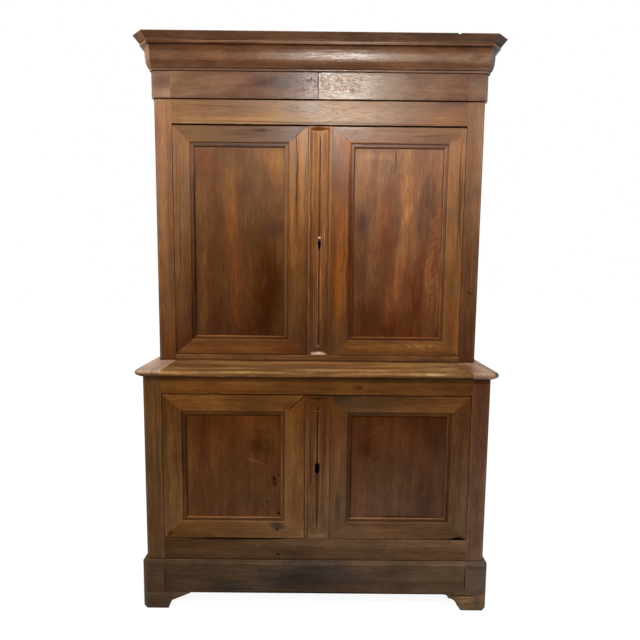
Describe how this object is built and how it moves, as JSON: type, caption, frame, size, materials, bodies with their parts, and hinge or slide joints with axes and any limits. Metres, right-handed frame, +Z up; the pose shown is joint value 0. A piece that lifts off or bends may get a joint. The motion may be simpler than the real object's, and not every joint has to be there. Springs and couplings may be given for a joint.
{
  "type": "buffet hutch",
  "caption": "Tall walnut cupboard in two stages: a base with panelled doors and a board top, and a set-back upper cabinet with tall panelled doors under a deep cornice.",
  "frame": {"origin": "on the floor, under the middle of the bounding box", "axes": "+Z up, the doors face -Y, +X to the right as seen from the front"},
  "size_m": [1.496, 0.572, 2.3],
  "materials": {
    "frame_walnut": "waxed walnut with visible grain, orange-brown",
    "panel_walnut": "waxed figured walnut, reddish brown, with flame figure",
    "base_walnut": "waxed walnut, darkened and worn",
    "plinth_walnut": "dark stained and scuffed walnut",
    "cornice_walnut": "waxed walnut with a soft shine",
    "top_walnut": "worn walnut, slightly bleached",
    "inside_wood": "plain unwaxed softwood, aged",
    "iron": "dark forged iron, slightly rusty",
    "brass": "dull aged brass"
  },
  "bodies": {
    "case": {"base_posts": "base_walnut", "base_top_rail": "base_walnut", "base_bottom_rail": "base_walnut", "base_frame_rails": "base_walnut", "base_side_panels": "base_walnut", "base_back_boards": "inside_wood", "base_floor": "inside_wood", "base_shelf": "inside_wood", "base_bearers": "inside_wood", "countertop": "top_walnut", "countertop_ends": "top_walnut", "plinth_front": "plinth_walnut", "plinth_corners": "plinth_walnut", "plinth_sides": "plinth_walnut", "front_feet": "plinth_walnut", "rear_feet": "plinth_walnut", "upper_posts": "frame_walnut", "upper_top_rail": "frame_walnut", "upper_bottom_rail": "frame_walnut", "upper_frame_rails": "frame_walnut", "upper_side_panels": "frame_walnut", "upper_back_boards": "inside_wood", "upper_floor": "inside_wood", "upper_ceiling": "inside_wood", "upper_shelves": "inside_wood", "upper_bearers": "inside_wood", "frieze_front": "cornice_walnut", "frieze_corners": "cornice_walnut", "frieze_sides": "cornice_walnut", "cornice_front": "cornice_walnut", "cornice_corners": "cornice_walnut", "cornice_sides": "cornice_walnut", "crown_boards": "inside_wood", "case_pivots": "iron", "door_stops": "inside_wood"},
    "upper_left_door": {"upper_left_stiles": "frame_walnut", "upper_left_rails": "frame_walnut", "upper_left_panel": "panel_walnut", "upper_bolt_plate": "iron"},
    "upper_right_door": {"upper_right_stiles": "frame_walnut", "upper_right_rails": "frame_walnut", "upper_right_panel": "panel_walnut", "upper_strip": "frame_walnut", "upper_lock_case": "iron", "upper_key_fittings": "iron"},
    "base_left_door": {"base_left_stiles": "base_walnut", "base_left_rails": "base_walnut", "base_left_panel": "panel_walnut", "base_bolt_plate": "iron"},
    "base_right_door": {"base_right_stiles": "base_walnut", "base_right_rails": "base_walnut", "base_right_panel": "panel_walnut", "base_strip": "base_walnut", "base_lock_case": "iron", "base_key_fittings": "iron"},
    "upper_latch": {"upper_lock_bolt": "brass"},
    "base_latch": {"base_lock_bolt": "brass"},
    "upper_top_rod": {"upper_top_bolt": "iron"},
    "base_top_rod": {"base_top_bolt": "iron"}
  },
  "joints": [
    {"name": "upper_left_door_hinge", "type": "hinge", "parent": "case", "child": "upper_left_door", "pos_m": [-0.5875, -0.052, 1.491], "axis": [0, 0, -1], "range_deg": [0, 110]},
    {"name": "upper_right_door_hinge", "type": "hinge", "parent": "case", "child": "upper_right_door", "pos_m": [0.5875, -0.052, 1.491], "axis": [0, 0, 1], "range_deg": [0, 110]},
    {"name": "base_left_door_hinge", "type": "hinge", "parent": "case", "child": "base_left_door", "pos_m": [-0.5935, -0.246, 0.591], "axis": [0, 0, -1], "range_deg": [0, 110]},
    {"name": "base_right_door_hinge", "type": "hinge", "parent": "case", "child": "base_right_door", "pos_m": [0.5935, -0.246, 0.591], "axis": [0, 0, 1], "range_deg": [0, 110]},
    {"name": "upper_latch_slide", "type": "slide", "parent": "upper_right_door", "child": "upper_latch", "axis": [-1, 0, 0], "range_m": [0, 0.012]},
    {"name": "base_latch_slide", "type": "slide", "parent": "base_right_door", "child": "base_latch", "axis": [-1, 0, 0], "range_m": [0, 0.012]},
    {"name": "upper_top_rod_slide", "type": "slide", "parent": "upper_left_door", "child": "upper_top_rod", "axis": [0, 0, 1], "range_m": [0, 0.016]},
    {"name": "base_top_rod_slide", "type": "slide", "parent": "base_left_door", "child": "base_top_rod", "axis": [0, 0, 1], "range_m": [0, 0.016]}
  ]
}
